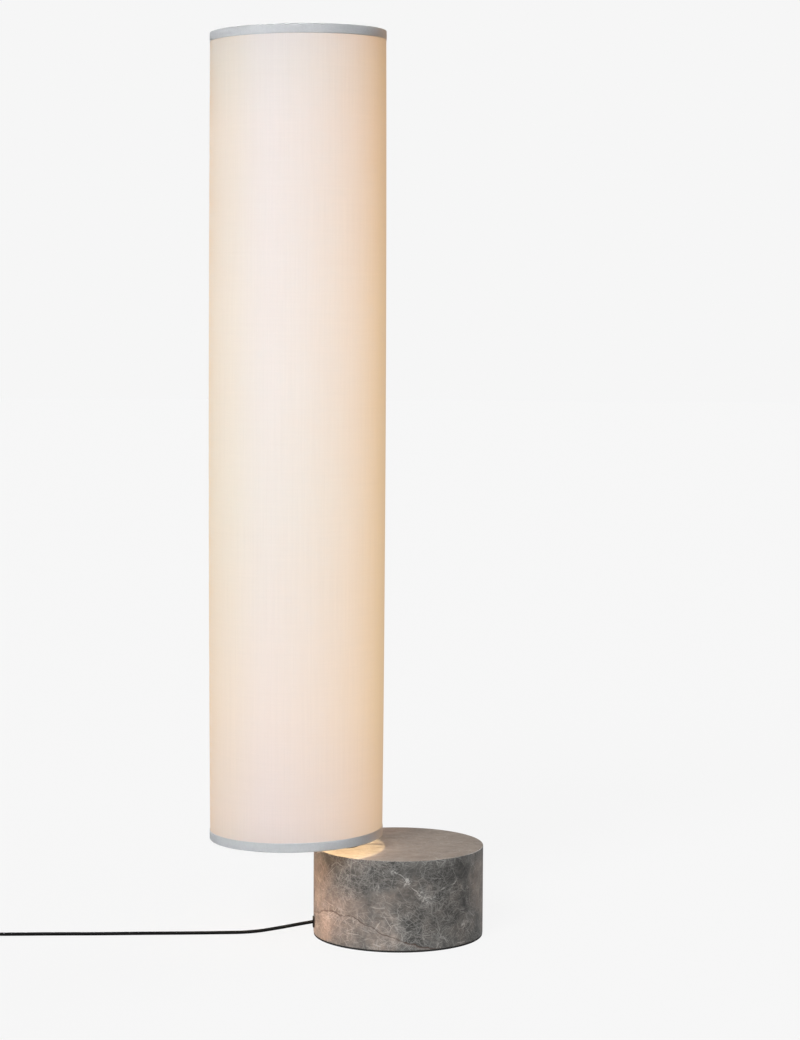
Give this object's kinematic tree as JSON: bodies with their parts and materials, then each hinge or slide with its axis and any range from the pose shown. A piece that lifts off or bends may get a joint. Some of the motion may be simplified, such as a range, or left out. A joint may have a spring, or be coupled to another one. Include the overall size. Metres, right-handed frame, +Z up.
{
  "type": "column floor lamp",
  "caption": "Tall narrow fabric drum shade carried off-centre on a stem above a low round stone base, lit from inside, with a floor cord, foot switch and plug.",
  "frame": {"origin": "centre of the round base's underside, on the floor", "axes": "+Z up along the shade; the shade's axis lies 138 mm toward -X of the base's, and the cord leaves the base toward -X"},
  "size_m": [0.8598, 0.2387, 1.2],
  "materials": {
    "stone": "honed marble, grey-brown with pale veins",
    "shade_fabric": "plain woven linen-look fabric, lit from inside",
    "shade_liner": "matt translucent sheet",
    "trim_tape": "grey woven tape",
    "white_wire": "satin",
    "black_metal": "satin",
    "steel": "zinc plated",
    "brass": "plain",
    "black_plastic": "fine texture",
    "switch_plastic": "fine texture",
    "switch_button": "satin",
    "white_plastic": "plain",
    "ceramic": "white",
    "bulb_metal": "nickel plated",
    "bulb_glass": "frosted",
    "pin_metal": "nickel plated brass",
    "cord": "matt black sheath",
    "harness": "grey sheath",
    "tie": "hook and loop tape",
    "rubber_pad": "matt"
  },
  "bodies": {
    "lamp": {"marble_base": "stone", "foot_pad": "rubber_pad", "cover_plate": "steel", "cover_screws": "steel", "clamp_plate": "steel", "stem_nut": "steel", "stem_rod": "steel", "cord_gland": "black_plastic", "cord_anchor": "black_plastic", "cord_saddle": "black_plastic", "anchor_screws": "steel", "terminal_block": "white_plastic", "terminal_screws": "brass", "inlet_cord": "cord", "stem_flange": "black_metal", "stem_tube": "black_metal", "stem_top_plug": "black_metal", "finial": "black_metal", "shade_fabric": "shade_fabric", "shade_liner": "shade_liner", "shade_bottom_trim": "trim_tape", "shade_top_trim": "trim_tape", "shade_top_frame": "white_wire", "shade_bottom_frame": "white_wire", "set_screws": "steel", "wiring_harness": "harness", "power_cord": "cord", "power_cord_link": "cord", "power_cord_tail": "cord", "cord_coil": "cord", "cord_tie": "tie", "plug_body": "black_plastic", "plug_pins": "pin_metal", "plug_strain_relief": "black_plastic", "switch_base": "black_plastic", "switch_cover": "switch_plastic", "switch_mechanism": "white_plastic", "switch_spring": "steel", "switch_screws": "steel", "switch_feet": "rubber_pad", "lampholder_bracket_lower": "black_metal", "lampholder_cap_lower": "black_plastic", "lampholder_core_lower": "ceramic", "lampholder_sleeve_lower": "black_plastic", "bulb_cap_lower": "bulb_metal", "bulb_glass_lower": "bulb_glass", "lampholder_bracket_middle": "black_metal", "lampholder_cap_middle": "black_plastic", "lampholder_core_middle": "ceramic", "lampholder_sleeve_middle": "black_plastic", "bulb_cap_middle": "bulb_metal", "bulb_glass_middle": "bulb_glass", "lampholder_bracket_upper": "black_metal", "lampholder_cap_upper": "black_plastic", "lampholder_core_upper": "ceramic", "lampholder_sleeve_upper": "black_plastic", "bulb_cap_upper": "bulb_metal", "bulb_glass_upper": "bulb_glass"},
    "foot_button": {"switch_button": "switch_button"}
  },
  "joints": [
    {"name": "switch_press", "type": "slide", "parent": "lamp", "child": "foot_button", "axis": [0, 0, -1], "range_m": [0, 0.003], "stiffness_N_per_m": 1200, "springref_m": -0.0015, "deforming": ["switch_spring"]}
  ]
}
